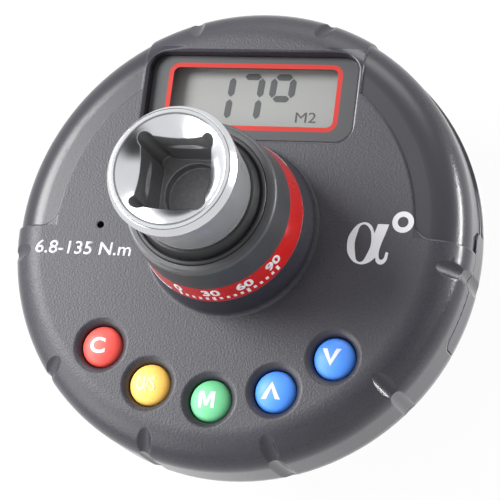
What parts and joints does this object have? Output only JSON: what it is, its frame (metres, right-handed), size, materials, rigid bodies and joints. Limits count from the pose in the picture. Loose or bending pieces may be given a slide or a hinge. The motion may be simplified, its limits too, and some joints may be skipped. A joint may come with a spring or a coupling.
{
  "type": "torque angle gauge",
  "caption": "Round digital torque and angle gauge with a display and coloured keys on its face, a female square in a chrome head, a male square behind and a battery drawer in the rim.",
  "frame": {"origin": "on the drive axis, at the tip of the male square", "axes": "+Z along the drive axis out of the display face, +Y from the axis to the display, +X to the right of the display"},
  "size_m": [0.066, 0.066, 0.0596],
  "materials": {
    "housing_plastic": "fine textured charcoal moulding",
    "collar_plastic": "satin charcoal moulding",
    "red_trim": "glossy red",
    "black_rubber": "smooth black rubber",
    "polished_chrome": "polished chrome plate",
    "spring_steel": "dark spring steel",
    "lens_acrylic": "clear acrylic with a printed border",
    "lcd_glass": "grey green liquid crystal glass",
    "white_plastic": "white moulding",
    "pink_elastomer": "elastomer contact strip",
    "board_laminate": "green solder mask",
    "chip_resin": "black moulding resin",
    "sensor_can": "tinned can",
    "switch_metal": "tinned plate",
    "sounder_brass": "rolled brass",
    "cell_steel": "nickel plated steel",
    "contact_plate": "plated spring brass",
    "screw_steel": "zinc plated steel",
    "insert_brass": "turned brass",
    "gauge_foil": "amber film",
    "bearing_steel": "polished ball",
    "red_button": "satin red",
    "yellow_button": "satin yellow",
    "green_button": "satin green",
    "blue_button": "satin blue"
  },
  "bodies": {
    "housing": {"front_cover": "housing_plastic", "rear_cover": "housing_plastic", "torsion_shaft": "polished_chrome", "drive_collar": "collar_plastic", "red_band": "red_trim", "shaft_seal": "black_rubber", "retaining_ring": "spring_steel", "rear_oring": "black_rubber", "housing_gasket": "black_rubber", "display_lens": "lens_acrylic", "lcd_panel": "lcd_glass", "lcd_holder": "white_plastic", "contact_strips": "pink_elastomer", "main_board": "board_laminate", "board_chips": "chip_resin", "gyro_sensor": "sensor_can", "switch_bodies": "switch_metal", "sounder": "sounder_brass", "upper_contact": "contact_plate", "lower_contact": "contact_plate", "cover_screws": "screw_steel", "threaded_inserts": "insert_brass", "board_screws": "screw_steel", "strain_gauges": "gauge_foil", "gauge_lead": "gauge_foil", "detent_spring": "spring_steel"},
    "clear_key": {"button_clear": "red_button", "plunger_clear": "chip_resin"},
    "unit_key": {"button_unit": "yellow_button", "plunger_unit": "chip_resin"},
    "memory_key": {"button_memory": "green_button", "plunger_memory": "chip_resin"},
    "up_key": {"button_up": "blue_button", "plunger_up": "chip_resin"},
    "down_key": {"button_down": "blue_button", "plunger_down": "chip_resin"},
    "drawer": {"battery_drawer": "housing_plastic", "coin_cell": "cell_steel"},
    "ball": {"detent_ball": "bearing_steel"}
  },
  "joints": [
    {"name": "clear_press", "type": "slide", "parent": "housing", "child": "clear_key", "axis": [0, 0, -1], "range_m": [0, 0.0004], "stiffness_N_per_m": 2500},
    {"name": "unit_press", "type": "slide", "parent": "housing", "child": "unit_key", "axis": [0, 0, -1], "range_m": [0, 0.0004], "stiffness_N_per_m": 2500},
    {"name": "memory_press", "type": "slide", "parent": "housing", "child": "memory_key", "axis": [0, 0, -1], "range_m": [0, 0.0004], "stiffness_N_per_m": 2500},
    {"name": "up_press", "type": "slide", "parent": "housing", "child": "up_key", "axis": [0, 0, -1], "range_m": [0, 0.0004], "stiffness_N_per_m": 2500},
    {"name": "down_press", "type": "slide", "parent": "housing", "child": "down_key", "axis": [0, 0, -1], "range_m": [0, 0.0004], "stiffness_N_per_m": 2500},
    {"name": "drawer_pull", "type": "slide", "parent": "housing", "child": "drawer", "axis": [0.9863, -0.165, 0], "range_m": [0, 0.017]},
    {"name": "ball_press", "type": "slide", "parent": "housing", "child": "ball", "axis": [-1, 0, 0], "range_m": [0, 0.00075], "stiffness_N_per_m": 2500, "deforming": ["detent_spring"]}
  ]
}
